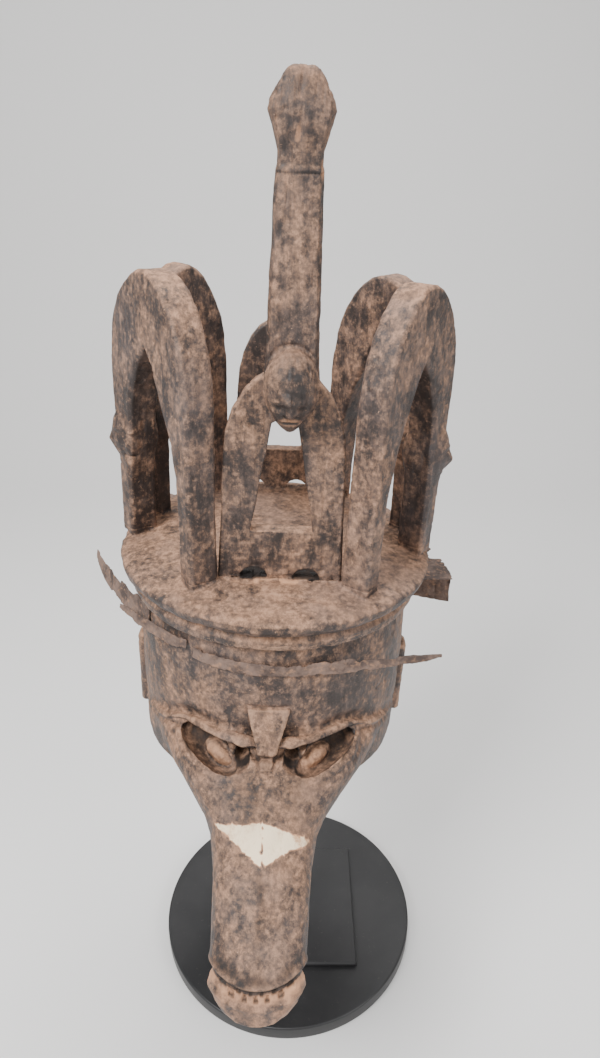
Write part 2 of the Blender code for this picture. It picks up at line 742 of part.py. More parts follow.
def strips(lean, finish):
    """Torn remains of a collar, each still held at the neck by one end."""

    def strip(name, stations):
        upper = [round_neck(a, top, off) for a, top, _, off in stations]
        lower = [round_neck(a, low, off) for a, _, low, off in stations]
        sheet(name, upper, lower, lean, finish)

    # degrees, upper and lower edge as shares of the helmet's depth, distance off the wall
    # as a share of its radius
    strip(
        "strip_front",
        [
            (-121, -0.227, -0.278, 0.000),
            (-108, -0.232, -0.289, 0.000),
            (-95, -0.237, -0.294, 0.000),
            (-82, -0.237, -0.294, 0.004),
            (-70, -0.232, -0.294, 0.020),
            (-59, -0.227, -0.289, 0.075),
            (-48, -0.222, -0.273, 0.205),
            (-37, -0.216, -0.232, 0.425),
        ],
    )
    strip(
        "strip_left",
        [
            (-124, -0.206, -0.258, 0.000),
            (-134, -0.206, -0.263, 0.016),
            (-146, -0.201, -0.258, 0.063),
            (-159, -0.201, -0.232, 0.165),
        ],
    )
    strip(
        "strip_left_long",
        [
            (-150, -0.186, -0.299, 0.000),
            (-160, -0.186, -0.309, 0.031),
            (-172, -0.186, -0.309, 0.142),
            (-184, -0.186, -0.278, 0.315),
            (-193, -0.191, -0.222, 0.472),
        ],
    )
    strip(
        "strip_left_short",
        [
            (-204, -0.175, -0.258, 0.000),
            (-197, -0.155, -0.247, 0.079),
            (-188, -0.129, -0.216, 0.205),
        ],
    )
    strip(
        "strip_right_low",
        [
            (24, -0.268, -0.402, 0.000),
            (19, -0.258, -0.402, 0.094),
            (14, -0.253, -0.397, 0.236),
            (9, -0.247, -0.387, 0.409),
        ],
    )

    def brim(name, stations):
        rise_of = HELMET_RADIUS / HELMET_DEPTH
        inner = [round_neck(a, z, 0.0) for a, z, _, _ in stations]
        outer = [round_neck(a, z + rise * rise_of, width) for a, z, rise, width in stations]
        sheet(name, inner, outer, lean, finish)

    # degrees, height at the wall, how far the edge rises, how wide it is, as shares
    brim(
        "brim_right",
        [
            (3, -0.206, 0.016, 0.386),
            (14, -0.206, 0.024, 0.394),
            (26, -0.206, 0.031, 0.386),
            (40, -0.206, 0.031, 0.362),
            (54, -0.206, 0.016, 0.299),
        ],
    )
    brim(
        "brim_left",
        [
            (118, -0.206, 0.063, 0.220),
            (126, -0.206, 0.173, 0.362),
            (133, -0.206, 0.220, 0.409),
            (140, -0.206, 0.213, 0.449),
            (146, -0.206, 0.110, 0.315),
        ],
    )


def main():
    for old in list(bpy.data.objects):
        bpy.data.objects.remove(old)
    wood = material("carved_wood", (0.22, 0.16, 0.135), 0.85)
    iron = material("rusted_iron", (0.15, 0.105, 0.085), 0.75, 0.3)
    black = material("black_stand", (0.018, 0.018, 0.020), 0.55)

    lean = bpy.data.objects.new("mask_lean", None)
    bpy.context.scene.collection.objects.link(lean)
    lean.location = (LEAN_SHIFT, 0, RIM_HEIGHT)
    lean.rotation_euler.y = LEAN

    stand(lean, black)
    mask = put("mask", helmet(), lean, wood)
    boolean(mask, put("platform", platform(), lean, tool=True), "UNION")
    boolean(mask, put("muzzle", muzzle_form(), lean, tool=True), "UNION")
    boolean(mask, put("lip", lower_lip_cut(), lean, tool=True), "DIFFERENCE")
    boolean(mask, put("hollow", hollow(), lean, tool=True), "DIFFERENCE")
    face(mask, lean)
    crown_work(mask, lean)
    strips(lean, iron)


main()
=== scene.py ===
import math

import bmesh
import bpy
import numpy as np
from mathutils import Matrix, Vector


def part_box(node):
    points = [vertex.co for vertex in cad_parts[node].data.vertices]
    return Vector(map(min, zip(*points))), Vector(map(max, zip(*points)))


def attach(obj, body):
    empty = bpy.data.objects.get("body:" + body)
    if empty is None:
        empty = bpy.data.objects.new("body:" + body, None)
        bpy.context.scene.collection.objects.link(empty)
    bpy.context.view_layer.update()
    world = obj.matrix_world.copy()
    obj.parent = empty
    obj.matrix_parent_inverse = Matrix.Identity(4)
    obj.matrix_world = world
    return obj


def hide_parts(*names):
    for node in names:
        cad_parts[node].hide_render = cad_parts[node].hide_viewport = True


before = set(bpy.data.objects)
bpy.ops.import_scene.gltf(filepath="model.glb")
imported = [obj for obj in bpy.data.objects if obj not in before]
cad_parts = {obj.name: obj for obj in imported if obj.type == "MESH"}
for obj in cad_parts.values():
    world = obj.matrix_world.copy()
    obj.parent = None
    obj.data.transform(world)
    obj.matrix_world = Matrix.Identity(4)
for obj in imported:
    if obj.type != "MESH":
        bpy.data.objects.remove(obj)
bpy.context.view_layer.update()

# Camera, studio floor and light
# The mask is seen from the front and a little above, from about 0.8 m. The studio is a pale
# floor that sweeps up into a backdrop, lit by large soft lamps.
SENSOR = 36.0
FOCAL_PIXELS = 741
FRAME_PIXELS = 1058
CAMERA_PITCH = 26.7
camera_data = bpy.data.cameras.new("camera")
camera_data.sensor_fit = "VERTICAL"
camera_data.sensor_height = SENSOR
camera_data.lens = SENSOR * FOCAL_PIXELS / FRAME_PIXELS
camera_data.clip_start = 0.01
camera = bpy.data.objects.new("camera", camera_data)
camera.location = (0.0147, -0.624, 0.864)
camera.rotation_euler = (math.radians(90 - CAMERA_PITCH), 0, 0)
bpy.context.scene.collection.objects.link(camera)
bpy.context.scene.camera = camera


def made(name, bm, *materials, smooth=True):
    """Turns a bmesh into a piece in the scene."""
    mesh = bpy.data.meshes.new(name)
    bm.to_mesh(mesh)
    bm.free()
    for polygon in mesh.polygons:
        polygon.use_smooth = smooth
    piece = bpy.data.objects.new(name, mesh)
    for material in materials:
        mesh.materials.append(material)
    bpy.context.scene.collection.objects.link(piece)
    return piece


class Wire:
    """A value on its way through a material; arithmetic on it adds the Math nodes."""

    def __init__(self, finish, socket):
        self.finish = finish
        self.socket = socket

    def math(self, operation, *others):
        values = dict(enumerate((self, *others)))
        return self.finish.node("ShaderNodeMath", values, operation=operation)

    def __add__(self, other):
        return self.math("ADD", other)

    def __sub__(self, other):
        return self.math("SUBTRACT", other)

    def __rsub__(self, other):
        return self.finish.node("ShaderNodeMath", {0: other, 1: self}, operation="SUBTRACT")

    def __mul__(self, other):
        return self.math("MULTIPLY", other)

    __radd__ = __add__
    __rmul__ = __mul__

    def clamped(self):
        return self.finish.node("ShaderNodeClamp", {"Value": self}, "Result")

    def step(self, low, high):
        """0 below low, 1 above high, with a soft passage."""
        return self.finish.node(
            "ShaderNodeMapRange",
            {"Value": self, "From Min": low, "From Max": high},
            "Result",
            interpolation_type="SMOOTHSTEP",
        )


class Finish:
    """A node material round one Principled shader."""

    def __init__(self, name, **surface):
        self.material = bpy.data.materials.new(name)
        self.material.use_nodes = True
        self.tree = self.material.node_tree
        self.shader = self.tree.nodes["Principled BSDF"]
        for socket, value in surface.items():
            self.shader.inputs[socket.replace("_", " ")].default_value = value

    def node(self, kind, inputs, output=0, **settings):
        node = self.tree.nodes.new(kind)
        for name, value in settings.items():
            setattr(node, name, value)
        for name, value in inputs.items():
            if isinstance(value, Wire):
                self.tree.links.new(value.socket, node.inputs[name])
            elif isinstance(value, tuple) and len(value) == 3 and node.inputs[name].type == "RGBA":
                node.inputs[name].default_value = (*value, 1)
            else:
                node.inputs[name].default_value = value
        return Wire(self, node.outputs[output])

    def place(self):
        return self.node("ShaderNodeTexCoord", {}, "Object")

    def cloud(self, size, detail, rough, shift=(0, 0, 0), stretch=(1, 1, 1)):
        """Soft noise with features of about that size in metres."""
        moved = self.node(
            "ShaderNodeMapping", {"Vector": self.place(), "Location": shift, "Scale": stretch}
        )
        values = {"Vector": moved, "Scale": 0.5 / size, "Detail": detail, "Roughness": rough}
        return self.node("ShaderNodeTexNoise", values, "Fac")

    def stored(self, name):
        """An attribute that aged() keeps on a piece."""
        return self.node("ShaderNodeAttribute", {}, "Fac", attribute_name=name)

    def mix(self, factor, first, second):
        values = {"Factor": factor, 6: first, 7: second}
        return self.node("ShaderNodeMix", values, 2, data_type="RGBA")

    def feeds(self, **sockets):
        for name, wire in sockets.items():
            self.tree.links.new(wire.socket, self.shader.inputs[name.replace("_", " ")])

    def relief(self, height, depth, strength):
        values = {"Height": height, "Distance": depth, "Strength": strength}
        return self.node("ShaderNodeBump", values, "Normal")


FLOOR_REACH = 3.0
BEND_START = 1.3
BEND_RADIUS = 0.7
BEND_STEPS = 12
BACKDROP_TOP = 3.2
bm = bmesh.new()
sweep = [(-FLOOR_REACH, 0), (BEND_START, 0)]
for i in range(1, BEND_STEPS + 1):
    turn = math.radians(90 * i / BEND_STEPS)
    run, rise = BEND_RADIUS * math.sin(turn), BEND_RADIUS * math.cos(turn)
    sweep.append((BEND_START + run, BEND_RADIUS - rise))
sweep.append((BEND_START + BEND_RADIUS, BACKDROP_TOP))
edge = [bm.verts.new((-FLOOR_REACH, y, z)) for y, z in sweep]
lines = [bm.edges.new(pair) for pair in zip(edge, edge[1:])]
spread = bmesh.ops.extrude_edge_only(bm, edges=lines)
moved = [v for v in spread["geom"] if isinstance(v, bmesh.types.BMVert)]
bmesh.ops.translate(bm, vec=(2 * FLOOR_REACH, 0, 0), verts=moved)
bmesh.ops.recalc_face_normals(bm, faces=bm.faces)
studio_paper = Finish("studio_paper", Base_Color=(0.80, 0.79, 0.78, 1), Roughness=0.9)
floor = made("floor", bm, studio_paper.material)

world = bpy.data.worlds.new("studio")
bpy.context.scene.world = world
world.use_nodes = True
world.node_tree.nodes["Background"].inputs["Color"].default_value = (1, 1, 1, 1)
world.node_tree.nodes["Background"].inputs["Strength"].default_value = 0.55
for name, spot, aim, width, power in (
    ("key", (-0.9, -1.1, 1.9), (0, 0, 0.55), 0.8, 56),
    ("fill", (1.3, -1.1, 1.3), (0, 0, 0.55), 1.1, 17),
    ("top", (0.1, 0.5, 2.1), (0, 0, 0.6), 0.8, 24),
):
    lamp = bpy.data.lights.new(name, "AREA")
    lamp.energy = power
    lamp.size = width
    holder = bpy.data.objects.new(name, lamp)
    holder.location = spot
    holder.rotation_euler = (Vector(aim) - Vector(spot)).to_track_quat("-Z", "Y").to_euler()
    bpy.context.scene.collection.objects.link(holder)

# The carved block
# The mask is hewn from one block of wood: helmet, muzzle, platform, panels, arches and post.
# It is cut here into four parts so that each carries its own fine surface; every part takes
# its form from the solid, is hollowed and dented as worn wood is, and keeps its place.
LEAN = math.radians(2.6)
RIM = Vector((-0.008, 0, 0.535))
leaned = Matrix.Translation(RIM) @ Matrix.Rotation(LEAN, 4, "Y")
upright = leaned.inverted()
UNDER_PLATFORM = -0.0285
ON_PLATFORM = 0.0125
OVERLAP = 0.001
ABOVE_ALL = 0.6
HOLLOW_DEPTH = 0.0012


def settle(piece):
    """Makes the modifiers' result the piece's own mesh."""
    bpy.context.view_layer.update()
    seen = piece.evaluated_get(bpy.context.evaluated_depsgraph_get())
    mesh = bpy.data.meshes.new_from_object(seen)
    piece.modifiers.clear()
    piece.data = mesh


def slab(bm, low, high):
    """The part of a closed bmesh between two heights in the leaned frame, closed again."""
    for height, way in ((low, 1), (high, -1)):
        spot = leaned @ Vector((0, 0, height))
        face_way = leaned.to_3x3() @ Vector((0, 0, way))
        whole = list(bm.verts) + list(bm.edges) + list(bm.faces)
        found = bmesh.ops.bisect_plane(
            bm, geom=whole, plane_co=spot, plane_no=face_way, clear_inner=True
        )
        rim = [e for e in found["geom_cut"] if isinstance(e, bmesh.types.BMEdge)]
        bmesh.ops.triangle_fill(bm, edges=rim, use_beauty=True, use_dissolve=False)
    return bm


def copied(node):
    """A CAD node's mesh as a closed bmesh."""
    bm = bmesh.new()
    bm.from_mesh(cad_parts[node].data)
    bmesh.ops.remove_doubles(bm, verts=bm.verts, dist=1e-6)
    return bm


def only(bm, wanted):
    """Keeps the loose parts whose middle, in the leaned frame, is wanted."""
    todo = set(bm.verts)
    dropped = []
    while todo:
        edge_of = [todo.pop()]
        part = list(edge_of)
        while edge_of:
            spot = edge_of.pop()
            for edge in spot.link_edges:
                other = edge.other_vert(spot)
                if other in todo:
                    todo.remove(other)
                    part.append(other)
                    edge_of.append(other)
        middle = sum((v.co for v in part), Vector()) / len(part)
        if not wanted(upright @ middle):
            dropped += part
    bmesh.ops.delete(bm, geom=dropped, context="VERTS")
    return bm


def joined(first, second):
    """Both bmeshes in one."""
    mesh = bpy.data.meshes.new("part")
    second.to_mesh(mesh)
    second.free()
    first.from_mesh(mesh)
    bpy.data.meshes.remove(mesh)
    return first


def points(piece):
    """The piece's vertices and the way each faces."""
    place = np.empty(len(piece.data.vertices) * 3, np.float32)
    piece.data.vertices.foreach_get("co", place)
    out = np.empty(len(place), np.float32)
    piece.data.vertex_normals.foreach_get("vector", out)
    return place.reshape(-1, 3).astype(float), out.reshape(-1, 3).astype(float)


def hashed(cell, seed):
    """A number from -1 to 1 for each cell, always the same one."""
    mixed = cell[0] * 73856093 ^ cell[1] * 19349663 ^ cell[2] * 83492791 ^ seed * 2654435761
    mixed = (mixed ^ (mixed >> 13)) * 1274126177 & 0x7FFFFFFF
    mixed = (mixed ^ (mixed >> 15)) * 668265263 & 0x7FFFFFFF
    return (mixed & 0xFFFFF) / 0xFFFFF * 2 - 1


def grain(place, size, seed, stretch=(1, 1, 1)):
    """Smooth noise from -1 to 1 over points, with features of about that size in metres."""
    scaled = place * np.array(stretch) / size + 1000
    cell = np.floor(scaled).astype(np.int64)
    part = scaled - cell
    part = part * part * (3 - 2 * part)
    total = np.zeros(len(place))
    for corner in range(8):
        step = np.array((corner & 1, corner >> 1 & 1, corner >> 2 & 1))
        share = np.prod(np.where(step, part, 1 - part), axis=1)
        total += share * hashed((cell + step).T, seed)
    return total


def ease(value, low, high):
    """0 at low and 1 at high, with a soft passage."""
    share = np.clip((value - low) / (high - low), 0, 1)
    return share * share * (3 - 2 * share)


def bump(value, width, power=2):
    """1 where the value is 0, falling off to nothing past that width."""
    return np.exp(-((value / width) ** power))


def oval(across, wide, along, tall, power=2):
    """A bump in two directions; the power squares off its first."""
    return np.exp(-((across / wide) ** power) - (along / tall) ** 2)


def nearest(place, path):
    """Distance to a line of points, the share along it, and the nearest point on it."""
    best = np.full(len(place), 9.0)
    along = np.zeros(len(place))
    foot = np.zeros((len(place), 3))
    path = np.array(path, float)
    for i, (a, b) in enumerate(zip(path, path[1:])):
        run = b - a
        share = np.clip(((place - a) @ run) / (run @ run), 0, 1)
        spot = a + share[:, None] * run
        far = np.linalg.norm(place - spot, axis=1)
        nearer = far < best
        best = np.where(nearer, far, best)
        along = np.where(nearer, (i + share) / (len(path) - 1), along)
        foot = np.where(nearer[:, None], spot, foot)
    return best, along, foot


def in_frame(place, change):
    """Points taken through a matrix."""
    return place @ np.array(change.to_3x3()).T + np.array(change.translation)


def in_mask(place):
    """Points in the mask's own upright frame, whose origin is on the platform."""
    return in_frame(place, upright)


def reshaped(piece, place):
    """Moves the piece's vertices to those points."""
    piece.data.vertices.foreach_set("co", place.astype(np.float32).ravel())
    piece.data.update()


def weathered(place, out):
    """The dents and furrows that all of the wood has."""
    dents = 0.00050 * grain(place, 0.022, 1) + 0.00028 * grain(place, 0.009, 2)
    pits = -0.0006 * ease(grain(place, 0.0055, 3), 0.45, 0.95)
    scars = -0.0010 * ease(grain(place, 0.016, 4, (1, 1, 0.5)), 0.62, 0.9)
    fine = 0.00012 * grain(place, 0.0030, 5)
    return dents + pits + scars + fine


def surfaced(piece, voxel, most, *shapes):
    """Gives a part its fine surface: even facets, the worked forms, then at most so many faces."""
    remesh = piece.modifiers.new("even", "REMESH")
    remesh.mode = "VOXEL"
    remesh.voxel_size = voxel
    soften = piece.modifiers.new("soften", "SMOOTH")
    soften.factor = 0.5
    soften.iterations = 1
    settle(piece)
    for shape in (*shapes, weathered):
        place, out = points(piece)
        push = shape(place, out)
        reshaped(piece, place + (push if push.ndim == 2 else out * push[:, None]))
    count = len(piece.data.polygons) * 2
    if count > most:
        fewer = piece.modifiers.new("fewer", "DECIMATE")
        fewer.ratio = most / count
        settle(piece)
    for polygon in piece.data.polygons:
        polygon.use_smooth = True


def neighbours(piece):
    """The two vertices at the ends of each edge."""
    ends = np.empty(len(piece.data.edges) * 2, np.int32)
    piece.data.edges.foreach_get("vertices", ends)
    return ends.reshape(-1, 2)


def averaged(values, ends, rounds):
    """Values drawn towards those next to them along the edges, so many times."""
    count = np.bincount(ends.ravel(), minlength=len(values)).astype(float)
    count = np.maximum(count, 1)
    for _ in range(rounds):
        total = np.zeros_like(values)
        for side in (0, 1):
            np.add.at(total, ends[:, side], values[ends[:, 1 - side]])
        values = 0.5 * values + 0.5 * total / (count[:, None] if values.ndim == 2 else count)
    return values


def kept(piece, **maps):
    """Puts values on the piece as attributes for its material."""
    for name, values in maps.items():
        layer = piece.data.attributes.new(name, "FLOAT", "POINT")
        layer.data.foreach_set("value", values.astype(np.float32))


def aged_and_shaded(piece, tone=None):
    """Dust and painted top light, chalk, stains and painted shade in hollows, kept on the piece."""
    place, out = points(piece)
    ends = neighbours(piece)
    broad = averaged(place, ends, 14)
    hollow = np.einsum("ij,ij->i", broad - place, out) / HOLLOW_DEPTH
    hollow = averaged(hollow, ends, 2)
    up = np.clip(out[:, 2], -1, 1)
    local = in_mask(place)
    chalk, dark = tone(local, out) if tone else (0 * up, 0 * up)
    kept(
        piece,
        hollow=np.clip(0.5 + 0.5 * hollow, 0, 1),
        dust=np.clip(0.5 + 0.5 * up, 0, 1),
        chalk=np.clip(chalk, 0, 1),
        dark=np.clip(dark, 0, 1),
    )


wood = Finish("carved_wood", Metallic=0.0, Specular_IOR_Level=0.42, IOR=1.45)
hollow = wood.stored("hollow")
dust = wood.stored("dust")
chalked = wood.stored("chalk")
darkened = wood.stored("dark")
patches = wood.cloud(0.030, 9, 0.70, (0, 0, 0), (1, 1, 0.5))
tones = wood.cloud(0.048, 7, 0.66, (2, 5, 1))
flecks = wood.cloud(0.0095, 8, 0.74, (3, 1, 2), (1, 1, 0.65))
specks = wood.cloud(0.0026, 6, 0.72, (1, 7, 2))
streaks = wood.cloud(0.0042, 6, 0.70, (5, 2, 1), (1, 1, 0.16))
crumbs = wood.cloud(0.0016, 4, 0.6, (8, 3, 5))
rubbed = hollow.step(0.36, 0.12)
bare = wood.mix(flecks.step(0.40, 0.62), (0.034, 0.0255, 0.0230), (0.110, 0.076, 0.063))
# Bluish-grey patches on the bare wood: a painted sheen on the patina.
bare = wood.mix(tones.step(0.50, 0.66) * 0.45, bare, (0.074, 0.064, 0.066))
bare = wood.mix(streaks.step(0.50, 0.62) * 0.50, bare, (0.024, 0.019, 0.019))
bare = wood.mix(specks.step(0.54, 0.70) * 0.45, bare, (0.175, 0.118, 0.098))
laid = patches * 0.70 + flecks * 0.75 + specks * 0.62
# Upward faces take more tan, for the dusty film that settles there and for painted light on the
# tops.
laid = laid + dust * 0.36 + hollow * 0.06 + rubbed * 0.08
laid = laid.step(1.14, 1.48)
tan = wood.mix(specks.step(0.36, 0.66), (0.260, 0.140, 0.083), (0.580, 0.325, 0.195))
tan = wood.mix(streaks.step(0.50, 0.62) * 0.45, tan, (0.115, 0.070, 0.048))
tan = wood.mix(tones.step(0.46, 0.60) * 0.35, tan, (0.275, 0.190, 0.155))
coloured = wood.mix(laid * 0.68, bare, tan)
worn_edge = (rubbed * 0.8 + flecks * 1.7 + specks * 0.8 - 1.62).clamped() * 0.85
coloured = wood.mix(worn_edge, coloured, (0.42, 0.255, 0.165))
coloured = wood.mix(crumbs.step(0.66, 0.74) * 0.6, coloured, (0.50, 0.310, 0.205))
chalk = wood.mix(flecks.step(0.46, 0.70), (1.0, 0.81, 0.56), (0.56, 0.270, 0.125))
chalk = wood.mix(chalked.step(0.55, 0.80), (0.62, 0.325, 0.180), chalk)
chalk_left = (chalked * 2.8 + specks * 0.7 + flecks * 0.6 - 1.40).clamped()
coloured = wood.mix(chalk_left, coloured, chalk)
# The dark map: stains and dark joints, and painted shade in holes, cuts, eye beds and notches.
coloured = wood.mix((darkened * 0.92).clamped(), coloured, (0.010, 0.008, 0.0075))
# Deep hollows are painted nearly black: painted shade in the recesses.
coloured = wood.mix(hollow.step(0.68, 0.95) * 0.75, coloured, (0.012, 0.0095, 0.009))
height = flecks * 0.5 + specks * 0.5 + streaks * 0.7 - patches * 0.2
wood.feeds(
    Base_Color=coloured,
    Roughness=(0.44 + 0.30 * laid + 0.16 * specks).clamped(),
    Normal=wood.relief(height, 0.0012, 0.9),
)

# Head: helmet and muzzle
# The helmet goes over the wearer's head. Its face has brows, hooded eyes and a long muzzle
# that ends in a lipped, toothed mouth; all are knife work in the same block.
SLOPE = math.radians(42)
NOSE = np.array((0.0, -0.145, -0.132))
ALONG = np.array((0, -math.cos(SLOPE), -math.sin(SLOPE)))
ABOVE = np.array((0, -math.sin(SLOPE), math.cos(SLOPE)))
NOSE_TOP = -0.0925
NOSE_END = -0.1395
MUZZLE = 0.199
LIP_START = MUZZLE * 0.77
LIP_BULGE = 0.021
LIP_HALF_WIDTH = 0.0435
JAW_RADIUS = 0.030
TOOTH_TURN = 0.29
TOOTH_ROWS = ((0.0030, 0.5), (0.0076, 0.0))
PATCH_MIDDLE = 0.0632
EYE_TILT = math.radians(11)
BROWS = {
    side: [
        (-side * 0.006, -0.142, -0.127),
        (side * 0.0285, -0.131, -0.1225),
        (side * 0.067, -0.111, -0.1225),
        (side * 0.099, -0.081, -0.138),
        (side * 0.121, -0.034, -0.160),
    ]
    for side in (-1, 1)
}


def on_muzzle(place):
    """Along the muzzle from the nose, across it, and above its top, for points in the mask."""
    return (place - NOSE) @ ALONG, place[:, 0], (place - NOSE) @ ABOVE


def eye_frame(side, tilt):
    """The middle of an eye, and its directions: along the almond, out of it and across it."""
    turn = Matrix.Rotation(side * 0.66, 3, "Z") @ Matrix.Rotation(math.radians(-38), 3, "X")
    turn = turn @ Matrix.Rotation(-side * tilt, 3, "Y")
    return np.array((side * 0.051, -0.1285, -0.138)), np.array(turn)


def eye_spot(place, side, tilt=EYE_TILT):
    """Points as seen from the middle of an eye."""
    middle, turn = eye_frame(side, tilt)
    return ((place - middle) @ turn).T


def eyes_tilted(place, out):
    """The outer end of each eye and brow is set higher, by turning the wood round the eye."""
    local = in_mask(place)
    moved = np.zeros_like(local)
    for side in (-1, 1):
        turn = eye_frame(side, 0)[1]
        long, deep, high = eye_spot(local, side, 0)
        far = np.sqrt((long / 0.056) ** 2 + (high / 0.036) ** 2)
        near = (np.abs(deep) < 0.035) & (local[:, 1] < -0.05)
        share = ease(1 - far, 0, 0.45) * near * ease(side * local[:, 0], 0.008, 0.022)
        angle = side * EYE_TILT * share
        run = long * np.cos(angle) - high * np.sin(angle) - long
        rise = long * np.sin(angle) + high * np.cos(angle) - high
        moved += np.stack((run, 0 * run, rise), axis=1) @ turn.T
    return moved @ np.array(leaned.to_3x3()).T


def lip_line(across):
    """How far along the muzzle the upper lip's edge runs, at that place across it."""
    share = across / LIP_HALF_WIDTH
    return LIP_START + LIP_BULGE * (1 - share * share)


def mouth(place):
    """How far each point lies past the upper lip and off the middle line, and if it is in front."""
    along, across, above = on_muzzle(place)
    past = along - lip_line(across)
    front = ease(above, -0.052, -0.044) * ease(0.046 - np.abs(across), 0, 0.004)
    return past, across, front


def tooth_holes(past, across):
    """Two rows of small holes between the teeth, the lower row set between those above."""
    holes = 0
    for row, shift in TOOTH_ROWS:
        gap = np.abs((np.arctan2(across, JAW_RADIUS) / TOOTH_TURN + shift) % 1 - 0.5) * 2
        holes = holes + ease(gap, 0.52, 0.70) * bump(past - row, 0.0019, 4)
    return holes * ease(0.034 - np.abs(across), 0, 0.004)


def nose_wedge(local):
    """How far inside the nose's flat wedge each point lies, from its nearest edge."""
    half = 0.0050 + 0.0125 * np.clip((local[:, 2] + 0.139) / 0.046, 0, 1)
    side = half - np.abs(local[:, 0])
    return np.minimum(np.minimum(side, NOSE_TOP - local[:, 2]), local[:, 2] - NOSE_END)


def face_work(place, out):
    """Knife work on the face, as heights over the solid's surface."""
    local = in_mask(place)
    along, across, above = on_muzzle(local)
    facing = ease(out @ (np.array(leaned.to_3x3()) @ ABOVE), 0.0, 0.5)
    height = 0.0010 * bump(across, 0.0085) * ease(along, 0.02, 0.05) * facing
    height *= ease(0.168 - along, 0, 0.01)
    for side in (-1, 1):
        far, share, foot = nearest(local, BROWS[side])
        under = ease(foot[:, 2] - local[:, 2], 0.0015, 0.004) * (local[:, 1] < -0.03)
        groove = bump(far - 0.0075, 0.0028) * under
        height -= 0.0022 * groove * ease(0.98 - share, 0, 0.1)
        over = ease(local[:, 2] - foot[:, 2], 0.0005, 0.004) * (local[:, 1] < -0.03)
        over *= nose_wedge(local) < -0.001
        height -= 0.0008 * bump(far - 0.0085, 0.004) * over
        long, deep, high = eye_spot(local, side)
        ring = np.sqrt((long / 0.0385) ** 2 + (high / 0.0158) ** 2)
        near = (np.abs(deep) < 0.03) & (local[:, 1] < -0.06)
        height += 0.0004 * bump(ring - 1.0, 0.12) * near
        height -= 0.0007 * bump(ring - 1.28, 0.13) * near
    wedge = nose_wedge(local)
    in_front = local[:, 1] < -0.10
    height += 0.0016 * ease(wedge, -0.0012, 0.0012) * in_front
    height -= 0.0008 * bump(wedge + 0.0016, 0.0012) * in_front
    past, across, front = mouth(local)
    lip = 0.0010 * bump(past + 0.0022, 0.0020) * front
    gum = -0.0026 * bump(past - 0.0040, 0.0036, 4) * front
    lower = 0.0016 * bump(past - 0.0150, 0.0035) * front
    teeth = -0.0020 * tooth_holes(past, across) * front
    height += lip + gum + lower + teeth
    return height


def face_tone(local, out):
    """Where chalk sits on the face, and where it is dark: stains, and painted shade in holes and
    cuts.
    """
    along, across, above = on_muzzle(local)
    top = ease(above, -0.02, -0.01)
    down = along - PATCH_MIDDLE
    right = across > 0
    reach = np.where(right, 0.0440, 0.0420)
    upper = np.where(right, 0.0122, 0.0116) - np.abs(across) * np.where(right, 0.32, 0.04)
    lower = 0.0224 - np.abs(across) * np.where(right, 0.50, 0.74)
    rag = 0.0013 * grain(local, 0.008, 31) + 0.0005 * grain(local, 0.0030, 32)
    inside = np.minimum(np.minimum(down + upper, lower - down), reach - np.abs(across))
    chalk = ease(inside + rag, -0.0008, 0.0012) * top
    seam = bump(across - 0.0006 * grain(local, 0.004, 33), 0.0009) * top
    chalk *= 1 - 0.85 * seam * ease(grain(local, 0.003, 34), -0.5, 0.2)
    past, across, front = mouth(local)
    jaw = ease(past, 0.0020, 0.0040) * front
    pale = 0.34 + 0.16 * ease(0.013 - past, 0, 0.005) + 0.12 * grain(local, 0.010, 38)
    chalk = np.maximum(chalk, jaw * pale)
    # Painted shade in the holes between the teeth, and a painted shadow along the upper lip's edge.
    dark = 0.95 * tooth_holes(past, across) * front
    dark = np.maximum(dark, bump(past - 0.0006, 0.0017) * front)
    lip = bump(past + 0.0080, 0.0058) * ease(grain(local, 0.012, 39), -0.6, 0.3)
    dark = np.maximum(dark, 0.75 * lip * front)
    under_eyes = oval(across, 0.034, along - 0.026, 0.026) * top
    under_eyes *= ease(grain(local, 0.013, 40, (1, 1, 0.6)), -0.8, 0.4)
    dark = np.maximum(dark, 0.50 * under_eyes)
    streak = bump(across + 0.001 * grain(local, 0.01, 35), 0.0032)
    streak *= ease(along, 0.082, 0.09) * ease(0.17 - along, 0, 0.03) * top
    dark = np.maximum(dark, 0.62 * streak * ease(grain(local, 0.006, 36), -0.6, 0.4))
    for side in (-1, 1):
        long, deep, high = eye_spot(local, side)
        near = (np.abs(deep) < 0.03) & (local[:, 1] < -0.06)
        ball = np.sqrt(((long + side * 0.0070) / 0.0184) ** 2 + ((high + 0.0010) / 0.0092) ** 2)
        chalk = np.maximum(chalk, np.where(near, 0.42 * ease(1.0 - ball, 0, 0.4), 0))
        # Painted shade in each eye's bed round the pale eyeball.
        bed = np.sqrt((long / 0.0350) ** 2 + (high / 0.0128) ** 2)
        shade = ease(1.02 - bed, 0, 0.2) * ease(ball, 1.0, 1.25)
        dark = np.maximum(dark, np.where(near, 0.85 * shade, 0))
        # A painted shadow for the deep cut between each eye and the nose.
        to_cut_shadow = np.linalg.norm(local - np.array((side * 0.0225, -0.139, -0.137)), axis=1)
        dark = np.maximum(dark, ease(0.0105 - to_cut_shadow, 0, 0.0025))
    return chalk, dark


head = made("mask_head", slab(copied("mask"), -0.5, -0.022), wood.material)
surfaced(head, 0.0010, 198000, eyes_tilted, face_work)
aged_and_shaded(head, face_tone)

# Platform and back panel
# A round ledge crowns the helmet. A panel with a tall window stands at its front and its back;
# both were let down to the ledge over round notches, and old filler is left in the gaps.
NOTCHES = (-0.017, 0.027)


def at_back(middle):
    return middle.y > 0.06 and abs(middle.x + 0.004) < 0.03


